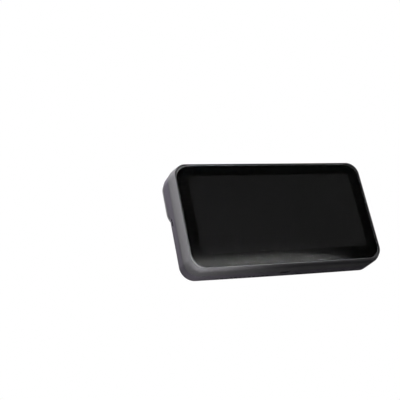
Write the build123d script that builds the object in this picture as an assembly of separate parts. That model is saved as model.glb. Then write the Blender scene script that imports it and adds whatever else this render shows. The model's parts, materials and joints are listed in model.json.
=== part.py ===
from build123d import *
import math
import os

# Handheld three-dimensional scanner: a tablet-sized body with a touch screen on one face, and on the
# other a dark window with cameras and lamps behind it.
# X runs along the width, the screen faces -Y, the scan window faces +Y and Z is up. The origin is under
# the middle of the body, on the surface that it stands on. Lengths are in millimetres.

# Whole body
body_width = 173.0
body_height = 91.6
body_depth = 30.0
corner_radius = 12.0
cut_over = 3.0              # how far a cut runs past the face that it opens
part_gap = 0.2              # side gap between pieces that are put together by hand
screw_gap = 0.05            # radial gap of a screw in its thread
hole_gap = 0.25             # radial gap of a screw in a plain hole

# Front frame, a cast tray whose rim carries the screen
frame_depth = 13.0          # screen face to the seam with the rear housing
frame_draft = 1.8           # how far the rim draws in on its way from the seam to the lip
rim_shares = (0.0, 0.15, 0.3, 0.48, 0.65, 0.77, 0.89, 1.0)  # places on that way
rim_curve_share = 1.6       # above one, the rim leaves the line of the housing gently
base_flat_share = 0.65      # the base stays flat over this part of the way
frame_lip = 0.7
lip_setback = 0.15
lip_radius = 0.3
seam_chamfer = 0.35
chamfer_lean = 45.0
frame_wall = 2.0
shelf_width = 3.0
web_thickness = 1.2

# Screen
screen_corner = 12.0        # corner of the opening that the glass lies in
glass_thickness = 1.1
glass_gap = 0.15
glass_edge_radius = 0.45
print_thickness = 0.1
print_side_border = 12.5    # side of the body to the opening in the print
print_end_border = 12.8     # the same at the top and the base, before the rise
print_corner = 2.5
adhesive_thickness = 0.2
adhesive_margin = 0.4
display_side_border = 11.2  # side of the body to the panel
display_end_border = 11.2
display_rise = 1.0          # middle of the panel above the middle of the body
display_corner = 3.5
display_thickness = 1.6
display_gap = 0.1

# Rear housing
housing_inset = 0.2         # step in from the frame on the sides and the top
housing_wall = 2.0
head_step = 3.5             # scan face to the back of the grip at its middle
grip_crown = 0.9            # fall of that back from the middle to the sides
grip_radius = 3.5
head_slope = 17.0           # degrees that the head's flank leans
head_flush = 0.7            # bezel set in from the sides and the top of the housing
register_width = 1.2
register_height = 2.0
register_flange = 0.8

# Scan window and what holds it
bezel_width = 0.9
bezel_depth = 2.6
bezel_chamfer = 0.35
window_side_drop = 40.5     # window top to where its lower edge would meet the side edges
window_middle_drop = 52.5   # window top to where the two halves of that edge would meet
window_top_radius = 11.0
window_lower_radius = 12.0
window_middle_radius = 220.0
window_thickness = 1.5
window_setback = 0.2
window_gap = 0.1
window_edge_radius = 0.3
window_shelf = 2.2
mask_thickness = 0.15
filter_gap = 0.05           # radial gap of a filter in its opening
projector_line = 1.2        # width of the line round the projector
gasket_thickness = 0.3

# What looks out through the window: drops from its top edge, and offsets from its middle or insets
# from its side edges
row_drop = 19.2
upper_drop = 8.5
colour_drop = 34.5
flash_drop = 43.9
emitter_offset = 5.8
flash_offset = 3.7
stereo_inset = 48.6
corner_inset = 12.7
led_inset = 8.9
stereo_led_step = 16.6      # from the innermost lamp to the middle of the stereo camera
led_count = 4
stereo_aperture = 10.3
corner_aperture = 7.5
colour_aperture = 7.0
led_aperture = 4.4
flash_aperture = 3.7
emitter_aperture = 4.9
projector_width = 9.2
projector_height = 12.2

# Camera modules: a sensor block on the bench, a barrel and a front lens
lens_wall = 0.8
lens_setback = 0.5          # barrel end to the mask
lens_recess = 1.2
lens_thickness = 1.6
lens_crown = 0.5
block_margin = 0.8          # sensor block past the barrel on each side
block_corner = 3.0
block_height = 4.0

# Lamps
led_board_height = 7.0
led_board_margin = 2.6
led_board_thickness = 1.0
led_dome_setback = 1.0
projector_barrel_wall = 1.0
projector_block_height = 5.0
emitter_margin = 0.7
flash_holder_width = 15.0
flash_holder_height = 5.2
flash_led_height = 1.4

# Optical bench
bench_thickness = 1.6
bench_setback = 9.4         # bench face to the inner face of the mask
bench_side_gap = 1.5
bench_low_drop = 19.3       # row of lamps to the lower edge of the bench
bench_tongue_width = 22.0
bench_tongue_margin = 0.8   # tongue past the flash holder
bench_light_width = 13.0
bench_light_height = 9.0
bench_light_radius = 2.0
bench_light_drop = 11.0     # openings below the row of lamps
bench_light_insets = (61.7, 30.7, 14.7)   # sides of the window to the middles of the openings
bench_screw_step = 12.0     # inner upper screws beside the bosses of the case
bench_screw_inset = 29.7    # sides of the window to the outer upper screws
bench_screw_gap = 1.6       # lower screws beside the blower
bench_boss = 5.0
boss_bite = 0.9             # how far a boss runs into the wall beside it

# Screws
screw_shank = 2.0
screw_length = 5.5
screw_head = 3.8
screw_head_height = 1.2
screw_socket = 1.6
screw_socket_depth = 0.7
socket_sides = 6
case_boss = 6.0
case_rib = 1.8
case_boss_inset = 8.0       # side of the body to the middle of the outer bosses
case_boss_low = 13.0
case_boss_row_drop = 8.3    # upper side bosses below the row of lamps
case_boss_offset = 14.0
case_boss_drop = 7.4        # top of the body to the middle of the top bosses

# Battery and main board, side by side behind the web
store_gap = 3.0             # left free beside the bosses
store_low = 7.0
store_top_gap = 13.0
battery_thickness = 8.0
battery_radius = 1.5
battery_gap = 5.0           # main board to the battery
board_width = 58.0
board_thickness = 1.2
board_standoff = 1.5
board_post = 4.6
board_post_inset = 4.0
chip_width = 14.0
chip_height = 1.2
chip_drop = 21.5            # middle of the processor above the lower edge of the board
memory_width = 9.0
memory_tall = 12.0
memory_height = 1.0
memory_step = 13.0
shield_width = 24.0
shield_tall = 20.0
shield_height = 2.2
shield_wall = 0.4
shield_drop = 13.0          # middle of the radio shield below the upper edge of the board
connector_width = 12.0
connector_tall = 3.2
connector_height = 0.9

# Heat sink and blower
pad_thickness = 1.2
sink_width = 38.0
sink_drop = 0.5             # lower edge of the heat sink below that of the board
sink_tall = 47.0
sink_base = 1.2
sink_leg = 4.0
sink_leg_inset = 4.5
fin_count = 13
fin_thickness = 0.6
fin_tall = 13.0
fin_depth = 6.0
blower_size = 31.0
blower_depth = 6.6
blower_wall = 0.9
blower_rise = 15.0          # lower edge of the blower above the lower edge of the heat sink
blower_inlet = 16.0
blower_outlet = 22.0
blower_corner = 3.0
impeller_diameter = 25.0
impeller_hub = 10.0
impeller_plate = 0.6
impeller_gap = 0.45
impeller_blades = 11
full_turn = 360.0
blade_thickness = 0.7
blade_lean = 32.0           # degrees that a blade leans from the radius
shaft_diameter = 2.0
shaft_fit = 0.05

# Vents
vent_near = 13.5            # first slot from the middle of the body
vent_count = 12
vent_pitch = 4.0
vent_length = 2.7
vent_width = 1.5
vent_depth = 20.9           # screen face to the middle of the slots
filter_thickness = 0.5
filter_margin = 0.9

# Socket for charging and data
port_depth = 15.6           # screen face to the middle of the socket
port_width = 8.94
port_tall = 3.16
port_wall = 0.3
port_length = 7.3
port_setback = 0.3
port_gap = 0.25
tongue_width = 6.7
tongue_thickness = 0.7
tongue_setback = 0.9
tongue_root = 1.4
contact_count = 6
contact_pitch = 1.0
contact_width = 0.45
contact_length = 3.2
contact_depth = 0.12
port_board_width = 24.0
port_board_height = 14.0
port_board_thickness = 0.8
port_board_low = 2.8
port_post = 4.6
port_post_inset = 3.2
port_screw_length = 4.0

# Buttons on the top of the rim
button_depth = 10.4         # screen face to the middle of the buttons
button_width = 3.0
button_gap = 0.3
button_proud = 0.8
button_travel = 0.6
button_edge_radius = 0.35
button_flange = 0.8
button_flange_height = 0.8
button_flange_gap = 0.1
button_nub = 1.6
button_nub_height = 0.6
scan_button_inset = 25.0    # side of the body to the middle of the button
scan_button_length = 18.0
power_button_inset = 44.0
power_button_length = 9.0
switch_length = 4.4
switch_width = 3.2
switch_height = 2.0
switch_clearance = 0.25     # left under a button that is fully pressed
button_board_thickness = 0.8
button_board_margin = 3.5
button_ledge = 1.0

# Wrist strap slot and its pin, on one side of the housing
slot_drop = 1.0             # below the level where the window's lower edge would meet its side
slot_depth = 19.6           # screen face to the middle of the slot
slot_tall = 5.6
slot_width = 1.9
slot_deep = 4.0
slot_block_wall = 1.4
strap_pin_diameter = 0.8
strap_pin_inset = 1.9       # outer face of the housing to the middle of the pin
strap_pin_seat = 1.0        # length of the pin in each end wall

# Flat cables and aerials
ribbon_thickness = 0.25
display_ribbon_width = 24.0
ribbon_slot_gap = 0.8
ribbon_reach = 4.0
sensor_ribbon_width = 8.0
sensor_ribbon_gap = 1.0     # beside the heat sink
sensor_ribbon_rise = 2.0    # above the lower edge of the bench
aerial_thickness = 0.3
aerial_width = 5.0
aerial_length = 28.0

# Depths along Y that follow from those sizes
screen_face = -body_depth / 2
scan_face = body_depth / 2
lip_face = screen_face + lip_setback
seam = screen_face + frame_depth
glass_back = screen_face + glass_thickness
print_back = glass_back + print_thickness
shelf_face = print_back + adhesive_thickness
web_face = print_back + display_thickness + display_gap
web_back = web_face + web_thickness
bezel_seat = scan_face - bezel_depth
window_face = scan_face - window_setback
window_back = window_face - window_thickness
mask_back = window_back - mask_thickness
window_seat = mask_back - gasket_thickness
grip_back = scan_face - head_step
bench_face = mask_back - bench_setback
bench_back = bench_face - bench_thickness
board_face = web_back + board_standoff
board_back = board_face + board_thickness
sink_face = board_back + chip_height + pad_thickness
blower_face = sink_face + sink_base

# Insets and heights that follow from those sizes
rim_inset = frame_draft + frame_lip
middle_height = body_height / 2
display_width = body_width - 2 * display_side_border
display_height = body_height - 2 * display_end_border
housing_top = body_height - housing_inset
window_half = body_width / 2 - housing_inset - head_flush - bezel_width
window_top = housing_top - head_flush - bezel_width
window_slope = math.atan((window_middle_drop - window_side_drop) / window_half)
window_dip = window_top - window_middle_drop
row_height = window_top - row_drop
upper_height = window_top - upper_drop
colour_height = window_top - colour_drop
flash_height = window_top - flash_drop
stereo_offset = window_half - stereo_inset
corner_offset = window_half - corner_inset
led_pitch = (stereo_inset - stereo_led_step - led_inset) / (led_count - 1)
led_offsets = [window_half - led_inset - step * led_pitch for step in range(led_count)]
bench_low = row_height - bench_low_drop
slot_height = window_top - window_side_drop - slot_drop
crown_half = body_width / 2 - housing_inset
crown_radius = (crown_half ** 2 + grip_crown ** 2) / (2 * grip_crown)
store_half = body_width / 2 - case_boss_inset - case_boss / 2 - store_gap
store_height = body_height - store_low - store_top_gap
board_left = -store_half
battery_left = board_left + board_width + battery_gap
battery_width = store_half - battery_left
sink_left = board_left + (board_width - sink_width) / 2
sink_low = store_low - sink_drop
sink_middle = sink_left + sink_width / 2
blower_low = sink_low + blower_rise
blower_middle = blower_low + blower_size / 2
impeller_face = blower_face + blower_wall + impeller_gap
impeller_back = blower_face + blower_depth - blower_wall - impeller_gap
port_y = screen_face + port_depth
vent_y = screen_face + vent_depth
button_y = screen_face + button_depth
slot_y = screen_face + slot_depth
scan_button_place = body_width / 2 - scan_button_inset
power_button_place = body_width / 2 - power_button_inset


# Shapes that several pieces use

def slab(sketch, near, far):
    # A sketch in X and Z, thickened along Y between two depths
    return extrude(Plane.XZ.offset(-near) * sketch, amount=near - far)


def column(sketch, low, high):
    # A sketch in X and Y, raised between two heights
    return extrude(Plane.XY.offset(low) * sketch, amount=high - low)


def rod(x, z, diameter, near, far):
    return slab(Pos(x, z) * Circle(diameter / 2), near, far)


def plate(left, low, width, height, near, far):
    return slab(Pos(left + width / 2, low + height / 2) * Rectangle(width, height), near, far)


def body_outline(inset):
    corner = RectangleRounded(body_width - 2 * inset, body_height - 2 * inset, corner_radius - inset)
    return Pos(0, middle_height) * corner


def screen_outline(inset):
    # The opening for the glass, and what lies inside it at a further inset
    corner = screen_corner + rim_inset - inset
    return Pos(0, middle_height) * RectangleRounded(body_width - 2 * inset, body_height - 2 * inset, corner)


def housing_outline(inset):
    # Level with the frame at the base, set in from it on the sides and the top
    width = body_width - 2 * housing_inset - 2 * inset
    height = housing_top - 2 * inset
    return Pos(0, housing_top / 2) * RectangleRounded(width, height, corner_radius - housing_inset - inset)


def window_outline(grow):
    # A wide window whose lower edge dips to a rounded point in the middle
    half = window_half + grow
    dip = window_dip - grow / math.cos(window_slope)
    side = dip + half * math.tan(window_slope)
    top = window_top + grow
    points = [(-half, top), (-half, side), (0, dip), (half, side), (half, top)]
    outer = [window_top_radius + grow, window_lower_radius + grow]
    radii = outer + [window_middle_radius + grow] + outer[::-1]
    return make_face(FilletPolyline(*points, radius=radii, close=True))


def side_boss_places():
    outer = body_width / 2 - case_boss_inset
    return mirrored([(outer, case_boss_low), (outer, row_height - case_boss_row_drop)])


def top_boss_places():
    return mirrored([(case_boss_offset, body_height - case_boss_drop)])


def case_boss_places():
    return side_boss_places() + top_boss_places()


def bench_screw_places():
    # Bosses that grow out of the wall above and below the window
    reach = bench_boss / 2 - boss_bite
    high = window_top - window_shelf - reach
    side = blower_size / 2 - sink_middle + bench_screw_gap + screw_head / 2
    low = window_dip + side * math.tan(window_slope) + window_shelf + reach
    upper = [(case_boss_offset + bench_screw_step, high), (window_half - bench_screw_inset, high)]
    return mirrored(upper + [(side, low)])


def edges_at(solid, depth):
    return solid.edges().filter_by_position(Axis.Y, depth, depth)


def mirrored(places):
    return [(side * x, z) for x, z in places for side in (-1, 1)]


def screw(x, z, head_face, direction, length):
    # Head against a face, shank running along +Y or -Y into its thread
    head_top = head_face - direction * screw_head_height
    shank = rod(x, z, screw_shank, *sorted((head_face, head_face + direction * length)))
    head = rod(x, z, screw_head, *sorted((head_face, head_top)))
    hexagon = Pos(x, z) * RegularPolygon(screw_socket / 2, socket_sides)
    socket = slab(hexagon, *sorted((head_top, head_top + direction * screw_socket_depth)))
    return head + shank - socket


def thread_hole(x, z, near, far):
    return rod(x, z, screw_shank + 2 * screw_gap, near, far)


def plain_hole(x, z, near, far):
    return rod(x, z, screw_shank + 2 * hole_gap, near, far)


# Screen side

def board_post_places():
    left = board_left + board_post_inset
    right = board_left + board_width - board_post_inset
    low = store_low + board_post_inset
    high = store_low + store_height - board_post_inset
    return [(left, low), (right, low), (left, high), (right, high)]


def button_sizes():
    return [(scan_button_place, scan_button_length), (power_button_place, power_button_length)]


def button_slot(place, length, gap):
    return Pos(place, button_y) * SlotOverall(length + 2 * gap, button_width + 2 * gap)


def button_board_span():
    left = power_button_place - power_button_length / 2 - button_board_margin
    right = scan_button_place + scan_button_length / 2
    return left, right - left


def switch_top():
    return button_low() - button_travel - switch_clearance


def button_low():
    flange_top = body_height - frame_wall - button_flange_gap
    return flange_top - button_flange_height - button_nub_height


def rim_draw(share, start):
    # How far the rim has drawn in at one place on its way, when it starts at another
    rise = max(0, share - start) / (rim_shares[-1] - start)
    return frame_draft * rise ** rim_curve_share


def rim_section(share):
    side = rim_draw(share, rim_shares[0])
    base = rim_draw(share, base_flat_share)
    height = body_height - side - base
    outline = RectangleRounded(body_width - 2 * side, height, corner_radius - side)
    depth = seam + share * (lip_face - seam)
    return Plane.XZ.offset(-depth) * (Pos(0, base + height / 2) * outline)


def front_frame():
    rim = loft([rim_section(share) for share in rim_shares], ruled=True)
    rim = fillet(edges_at(rim, lip_face), lip_radius)
    rim = chamfer(edges_at(rim, seam), seam_chamfer)
    rim -= slab(screen_outline(rim_inset), lip_face - cut_over, shelf_face)
    rim -= slab(screen_outline(rim_inset + shelf_width), shelf_face - cut_over, web_face)
    rim -= slab(body_outline(frame_wall), web_back, seam + cut_over)
    for x, z in board_post_places():
        rim += rod(x, z, board_post, web_back, board_face)
        rim -= thread_hole(x, z, web_face - cut_over, board_face + cut_over)
    for x, z in case_boss_places():
        rim -= plain_hole(x, z, web_face - cut_over, web_back + cut_over)
    left, width = button_board_span()
    ledge_top = switch_top() - switch_height - button_board_thickness
    ledge_end = button_y + switch_width / 2
    rim += plate(left, ledge_top - button_ledge, width, button_ledge, web_back, ledge_end)
    for place, length in button_sizes():
        slot = button_slot(place, length, button_gap)
        rim -= column(slot, body_height - 2 * frame_wall, body_height + cut_over)
    # Slot in the web for the flat cable of the display
    low = middle_height + display_rise - display_height / 2 - ribbon_reach - ribbon_slot_gap
    tall = ribbon_thickness + 2 * ribbon_slot_gap
    span = display_ribbon_width + 2 * ribbon_slot_gap
    return rim - plate(sink_middle - span / 2, low, span, tall, web_face - cut_over, web_back + cut_over)


def cover_glass():
    glass = slab(screen_outline(rim_inset + glass_gap), screen_face, glass_back)
    return fillet(edges_at(glass, screen_face), glass_edge_radius)


def screen_print():
    # Opaque border on the back of the glass, open in front of the part of the display that lights up
    width = body_width - 2 * print_side_border
    height = body_height - 2 * print_end_border
    opening = Pos(0, middle_height + display_rise) * RectangleRounded(width, height, print_corner)
    border = slab(screen_outline(rim_inset + glass_gap + adhesive_margin), glass_back, print_back)
    return border - slab(opening, glass_back - cut_over, print_back + cut_over)


def screen_adhesive():
    outer = screen_outline(rim_inset + glass_gap + adhesive_margin)
    inner = screen_outline(rim_inset + shelf_width - adhesive_margin)
    return slab(outer, print_back, shelf_face) - slab(inner, print_back - cut_over, shelf_face + cut_over)


def display_panel():
    panel = RectangleRounded(display_width, display_height, display_corner)
    return slab(Pos(0, middle_height + display_rise) * panel, print_back, print_back + display_thickness)


def display_ribbon():
    # Leaves the lower edge of the panel, folds through the web and runs up to the main board
    near = print_back + display_thickness / 2
    far = board_face - connector_height - ribbon_thickness / 2
    top = middle_height + display_rise - display_height / 2
    fold = top - ribbon_reach + ribbon_thickness / 2
    low = store_low + connector_tall
    path = Polyline((near, top), (near, fold), (far, fold), (far, low))
    strip = Plane.YZ * trace(path, ribbon_thickness)
    left = sink_middle - display_ribbon_width / 2
    return Pos(left, 0, 0) * extrude(strip, amount=display_ribbon_width, dir=(1, 0, 0))


# Rear housing

def grip_form(inset):
    # Outline of the housing closed by a back that is crowned from side to side
    circle = Pos(0, grip_back - crown_radius) * Circle(crown_radius - inset)
    back = circle & Pos(0, grip_back) * Rectangle(body_width, body_width)
    return slab(housing_outline(inset), seam, scan_face) & column(back, -cut_over, body_height + cut_over)


def housing_form():
    grip = grip_form(0)
    grip = fillet(grip.faces().sort_by(Axis.Y)[-1].edges(), grip_radius)
    foot = grip_back - grip_crown - grip_radius
    rim = Plane.XZ.offset(-bezel_seat) * window_outline(bezel_width)
    head = extrude(rim, amount=bezel_seat - foot, taper=-head_slope)
    return grip + (head & slab(housing_outline(0), seam, scan_face))


def port_post_places():
    top = port_board_low + port_board_height - port_post_inset
    return mirrored([(port_board_width / 2 - port_post_inset, top)])


def port_board_face():
    return port_y + port_tall / 2


def vent_places():
    return [side * (vent_near + step * vent_pitch) for side in (-1, 1) for step in range(vent_count)]


def case_boss_top():
    # Inside the wall of the grip, clear of its outer face
    return grip_back - grip_crown - housing_wall / 2


def case_ribs():
    # A rib ties each boss of the case to the wall beside it
    side_wall = body_width / 2 - housing_inset - housing_wall / 2
    top_wall = housing_top - housing_wall / 2
    ribs = []
    for x, z in side_boss_places():
        left = min(x, math.copysign(side_wall, x))
        ribs.append(plate(left, z - case_rib / 2, side_wall - abs(x), case_rib, seam, case_boss_top()))
    for x, z in top_boss_places():
        ribs.append(plate(x - case_rib / 2, z, case_rib, top_wall - z, seam, case_boss_top()))
    return ribs


def register_ring():
    # Flange and register that centre the housing in the frame, open beside the buttons
    near = seam - register_height
    far = seam + register_flange
    ring = slab(body_outline(frame_wall + part_gap), near, far) & slab(housing_outline(0), near, far)
    ring += slab(housing_outline(0), seam, far)
    ring -= slab(body_outline(frame_wall + part_gap + register_width), near - cut_over, far + cut_over)
    left, width = button_board_span()
    width += button_board_margin
    return ring - plate(left, middle_height, width, body_height, near - cut_over, seam)


def strap_block():
    # Thick stretch of the side wall that holds the slot for the strap and its pin
    deep = slot_deep + slot_block_wall - housing_wall / 2
    middle = -crown_half + housing_wall / 2 + deep / 2
    block = Pos(middle, slot_y) * Rectangle(deep, slot_width + 2 * slot_block_wall)
    reach = slot_tall / 2 + strap_pin_seat + slot_block_wall
    return column(block, slot_height - reach, slot_height + reach)


def strap_pocket():
    place = Pos((slot_deep - cut_over) / 2 - crown_half, slot_y)
    pocket = place * Rectangle(slot_deep + cut_over, slot_width)
    return column(pocket, slot_height - slot_tall / 2, slot_height + slot_tall / 2)


def rear_housing():
    shell = housing_form() - grip_form(housing_wall) - slab(window_outline(-window_shelf), seam, scan_face)
    shelf = slab(window_outline(0), bezel_seat - cut_over, window_seat)
    shelf -= slab(window_outline(-window_shelf), seam, scan_face)
    shell += shelf & slab(body_outline(0), seam, scan_face)
    shell += register_ring()
    # Bosses for the screws of the case, the optical bench and the socket board
    post_face = port_board_face() + port_board_thickness
    for rib in case_ribs():
        shell += rib
    for x, z in case_boss_places():
        shell += rod(x, z, case_boss, web_back, case_boss_top())
    for x, z in bench_screw_places():
        shell += rod(x, z, bench_boss, bench_face, bezel_seat)
    for x, z in port_post_places():
        shell += rod(x, z, port_post, post_face, grip_back - housing_wall / 2)
    shell += strap_block()
    for x, z in case_boss_places():
        shell -= thread_hole(x, z, web_back - cut_over, web_back + screw_length)
    for x, z in bench_screw_places():
        shell -= thread_hole(x, z, bench_face - cut_over, bench_back + screw_length)
    for x, z in port_post_places():
        shell -= thread_hole(x, z, post_face - cut_over, port_board_face() + port_screw_length)
    shell -= strap_pocket()
    shell -= strap_pin_form(strap_pin_diameter + 2 * screw_gap)
    # Slots for the air and the hole for the socket
    for x in vent_places():
        slot = Pos(x, vent_y) * SlotOverall(vent_length, vent_width)
        shell -= column(slot, -cut_over, housing_wall + cut_over)
    hole = SlotOverall(port_width + 2 * port_gap, port_tall + 2 * port_gap)
    shell -= column(Pos(0, port_y) * hole, -cut_over, housing_wall + cut_over)
    return chamfer_seam(shell)


def chamfer_seam(shell):
    # Small chamfer on the outer edge at the seam, which leaves a fine groove beside the frame
    trim = slab(housing_outline(-cut_over), seam, seam + seam_chamfer)
    start = Plane.XZ.offset(-seam) * housing_outline(seam_chamfer)
    return shell - (trim - extrude(start, amount=-seam_chamfer, taper=-chamfer_lean))


def strap_pin_form(diameter):
    reach = slot_tall / 2 + strap_pin_seat
    place = Pos(-body_width / 2 + housing_inset + strap_pin_inset, slot_y)
    return column(place * Circle(diameter / 2), slot_height - reach, slot_height + reach)


def strap_pin():
    return strap_pin_form(strap_pin_diameter)


def vent_filters():
    length = (vent_count - 1) * vent_pitch + vent_length + 2 * filter_margin
    width = vent_width + 2 * filter_margin
    middle = vent_near + (vent_count - 1) * vent_pitch / 2
    strips = [Pos(side * middle, vent_y) * Rectangle(length, width) for side in (-1, 1)]
    return [column(strip, housing_wall, housing_wall + filter_thickness) for strip in strips]


# Scan window

def scan_bezel():
    ring = slab(window_outline(bezel_width), bezel_seat, scan_face)
    ring = chamfer(edges_at(ring, scan_face), bezel_chamfer)
    return ring - slab(window_outline(window_gap), bezel_seat - cut_over, scan_face + cut_over)


def scan_window():
    window = slab(window_outline(0), window_back, window_face)
    return fillet(edges_at(window, window_face), window_edge_radius)


def round_apertures():
    rows = [(x, row_height, led_aperture) for x in led_offsets]
    rows += [(stereo_offset, row_height, stereo_aperture), (corner_offset, upper_height, corner_aperture)]
    rows += [(flash_offset, flash_height, flash_aperture)]
    both = [(side * x, z, size) for x, z, size in rows for side in (-1, 1)]
    return both + [(0, colour_height, colour_aperture)]


def square_apertures():
    size = emitter_aperture
    squares = [(side * emitter_offset, upper_height, size, size) for side in (-1, 1)]
    return squares + [(0, row_height, projector_width, projector_height)]


def window_mask():
    # Opaque layer on the back of the window, open in front of every camera and lamp
    mask = slab(window_outline(0), mask_back, window_back)
    for x, z, size in round_apertures():
        mask -= rod(x, z, size, mask_back - cut_over, window_back + cut_over)
    for x, z, width, height in square_apertures():
        hole = Pos(x, z) * Rectangle(width, height)
        mask -= slab(hole, mask_back - cut_over, window_back + cut_over)
    return mask


def window_filters():
    # Grey film in each opening but those of the flash lamps, and a line round that of the projector
    films = []
    for x, z, size in round_apertures():
        if z != flash_height:
            films.append(rod(x, z, size - 2 * filter_gap, mask_back, window_back))
    for x, z, width, height in square_apertures():
        outer = Rectangle(width - 2 * filter_gap, height - 2 * filter_gap)
        film = slab(Pos(x, z) * outer, mask_back, window_back)
        if z == row_height:
            inner = Rectangle(width - 2 * projector_line, height - 2 * projector_line)
            film -= slab(Pos(x, z) * inner, mask_back - cut_over, window_back + cut_over)
        films.append(film)
    return films


def window_gasket():
    outer = window_outline(-window_gap)
    inner = window_outline(-window_shelf + window_gap)
    return slab(outer, window_seat, mask_back) - slab(inner, window_seat - cut_over, mask_back + cut_over)


# Cameras and lamps on their bench

def optical_bench():
    # A wide plate with a tongue below its middle for the flash lamps
    tongue_low = flash_height - flash_holder_height / 2 - bench_tongue_margin
    span = plate(-body_width / 2, bench_low, body_width, body_height, bench_back, bench_face)
    left = -bench_tongue_width / 2
    span += plate(left, tongue_low, bench_tongue_width, body_height, bench_back, bench_face)
    bench = slab(window_outline(-window_shelf - bench_side_gap), bench_back, bench_face) & span
    window = RectangleRounded(bench_light_width, bench_light_height, bench_light_radius)
    places = [(window_half - inset, row_height - bench_light_drop) for inset in bench_light_insets]
    for x, z in mirrored(places):
        bench -= slab(Pos(x, z) * window, bench_back - cut_over, bench_face + cut_over)
    for x, z in bench_screw_places():
        bench -= plain_hole(x, z, bench_back - cut_over, bench_face + cut_over)
    for x, z in case_boss_places():
        bench -= rod(x, z, case_boss + 2 * part_gap, bench_back - cut_over, bench_face + cut_over)
    return bench


def camera(x, z, aperture):
    barrel = aperture + 2 * lens_wall
    end = mask_back - lens_setback
    width = barrel + 2 * block_margin
    block = Pos(x, z) * RectangleRounded(width, width, block_corner)
    module = slab(block, bench_face, bench_face + block_height)
    module += rod(x, z, barrel, bench_face + block_height, end)
    return module - rod(x, z, aperture, end - lens_recess - lens_thickness, end + cut_over)


def camera_lens(x, z, aperture):
    # Front element: flat at the back, a shallow dome at the front
    seat = mask_back - lens_setback - lens_recess - lens_thickness
    half = aperture / 2 - screw_gap
    radius = (half ** 2 + lens_crown ** 2) / (2 * lens_crown)
    element = rod(x, z, 2 * half, seat, seat + lens_thickness)
    return element & Pos(x, seat + lens_thickness - radius, z) * Sphere(radius)


def led_board(side):
    span = led_offsets[0] - led_offsets[-1] + 2 * led_board_margin
    middle = side * (led_offsets[0] + led_offsets[-1]) / 2
    left = middle - span / 2
    low = row_height - led_board_height / 2
    return plate(left, low, span, led_board_height, bench_face, bench_face + led_board_thickness)


def leds(side):
    base = bench_face + led_board_thickness
    tip = mask_back - led_dome_setback
    radius = led_aperture / 2
    lamps = []
    for x in led_offsets:
        lamp = rod(side * x, row_height, led_aperture, base, tip - radius)
        lamps.append(lamp + Pos(side * x, tip - radius, row_height) * Sphere(radius))
    return lamps


def projector():
    place = Pos(0, row_height)
    end = mask_back - lens_setback
    opening = Rectangle(projector_width, projector_height)
    walls = 2 * projector_barrel_wall
    body = slab(place * Rectangle(projector_width + walls, projector_height + walls), bench_face, end)
    return body - slab(place * opening, bench_face + projector_block_height, end + cut_over)


def projector_lens():
    seat = bench_face + projector_block_height
    width = projector_width - 2 * screw_gap
    height = projector_height - 2 * screw_gap
    return plate(-width / 2, row_height - height / 2, width, height, seat, seat + lens_thickness)


def emitter(side):
    width = emitter_aperture + 2 * emitter_margin
    left = side * emitter_offset - width / 2
    return plate(left, upper_height - width / 2, width, width, bench_face, mask_back - lens_setback)


def flash_base():
    return mask_back - lens_setback - flash_led_height


def flash_holder():
    left = -flash_holder_width / 2
    low = flash_height - flash_holder_height / 2
    return plate(left, low, flash_holder_width, flash_holder_height, bench_face, flash_base())


def flash_leds():
    far = mask_back - lens_setback
    return [rod(side * flash_offset, flash_height, flash_aperture, flash_base(), far) for side in (-1, 1)]


# Power and computing

def battery():
    far = web_back + battery_thickness
    cell = plate(battery_left, store_low, battery_width, store_height, web_back, far)
    return fillet(cell.edges().filter_by(Axis.Y) + edges_at(cell, far), battery_radius)


def chip_place():
    return sink_middle, store_low + chip_drop


def main_board():
    board = plate(board_left, store_low, board_width, store_height, board_face, board_back)
    for x, z in board_post_places():
        board -= plain_hole(x, z, board_face - cut_over, board_back + cut_over)
    left = sink_middle - connector_width / 2
    near = board_face - connector_height
    return board + plate(left, store_low, connector_width, connector_tall, near, board_face)


def board_chips():
    x, z = chip_place()
    chips = [slab(Pos(x, z) * Rectangle(chip_width, chip_width), board_back, board_back + chip_height)]
    for side in (-1, 1):
        memory = Pos(x + side * memory_step, z) * Rectangle(memory_width, memory_tall)
        chips.append(slab(memory, board_back, board_back + memory_height))
    return chips


def shield_can():
    place = Pos(sink_middle, store_low + store_height - shield_drop)
    top = board_back + shield_height
    can = slab(place * Rectangle(shield_width, shield_tall), board_back, top)
    inner = place * Rectangle(shield_width - 2 * shield_wall, shield_tall - 2 * shield_wall)
    return can - slab(inner, board_back - cut_over, top - shield_wall)


def thermal_pad():
    x, z = chip_place()
    near = board_back + chip_height
    return slab(Pos(x, z) * Rectangle(chip_width, chip_width), near, near + pad_thickness)


def heat_sink():
    sink = plate(sink_left, sink_low, sink_width, sink_tall, sink_face, sink_face + sink_base)
    pitch = (sink_width - fin_thickness) / (fin_count - 1)
    for step in range(fin_count):
        left = sink_left + step * pitch
        sink += plate(left, sink_low, fin_thickness, fin_tall, blower_face, blower_face + fin_depth)
    for x in (sink_left + sink_leg_inset, sink_left + sink_width - sink_leg_inset):
        for z in (sink_low + sink_leg_inset, sink_low + sink_tall - sink_leg_inset):
            sink += rod(x, z, sink_leg, board_back, sink_face)
    return sink


def blower_case():
    size = Pos(sink_middle, blower_middle) * RectangleRounded(blower_size, blower_size, blower_corner)
    case = slab(size, blower_face, blower_face + blower_depth)
    near = blower_face + blower_wall
    far = blower_face + blower_depth - blower_wall
    chamber = blower_size - 2 * blower_wall
    case -= rod(sink_middle, blower_middle, chamber, near, far)
    outlet_left = sink_middle - blower_outlet / 2
    case -= plate(outlet_left, blower_low - cut_over, blower_outlet, blower_size / 2 + cut_over, near, far)
    case -= rod(sink_middle, blower_middle, blower_inlet, far, far + blower_wall + cut_over)
    seat = shaft_diameter + 2 * screw_gap
    return case - rod(sink_middle, blower_middle, seat, blower_face - cut_over, near + cut_over)


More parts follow.
